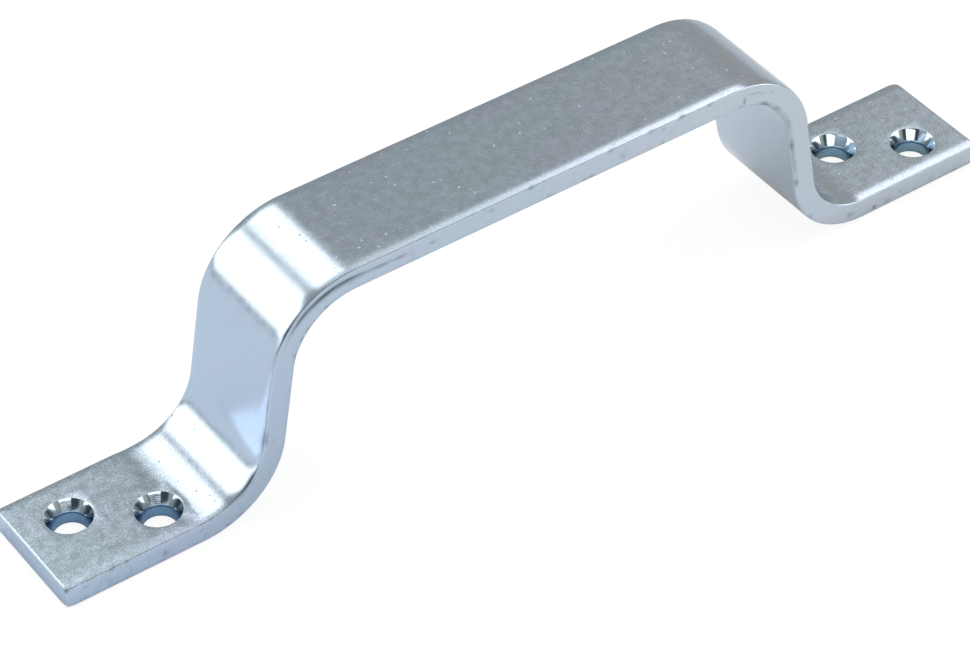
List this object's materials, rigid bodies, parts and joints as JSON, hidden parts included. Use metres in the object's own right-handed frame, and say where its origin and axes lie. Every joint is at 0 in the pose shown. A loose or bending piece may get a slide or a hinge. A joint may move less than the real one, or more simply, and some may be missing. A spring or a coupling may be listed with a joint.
{
  "type": "strap handle",
  "caption": "Strap handle bent from flat bar: a flat grip on slightly flared legs, with flat feet that have staggered countersunk screw holes.",
  "frame": {"origin": "on the plane that the feet rest on, under the middle of the grip, halfway across the bar", "axes": "+X along the handle from foot to foot, +Y across the bar, +Z from the feet up to the grip"},
  "size_m": [0.212, 0.025, 0.048],
  "materials": {
    "zinc_plate": "bright zinc plate with a faint blue cast"
  },
  "bodies": {
    "root": {"strap_handle": "zinc_plate"}
  },
  "joints": []
}
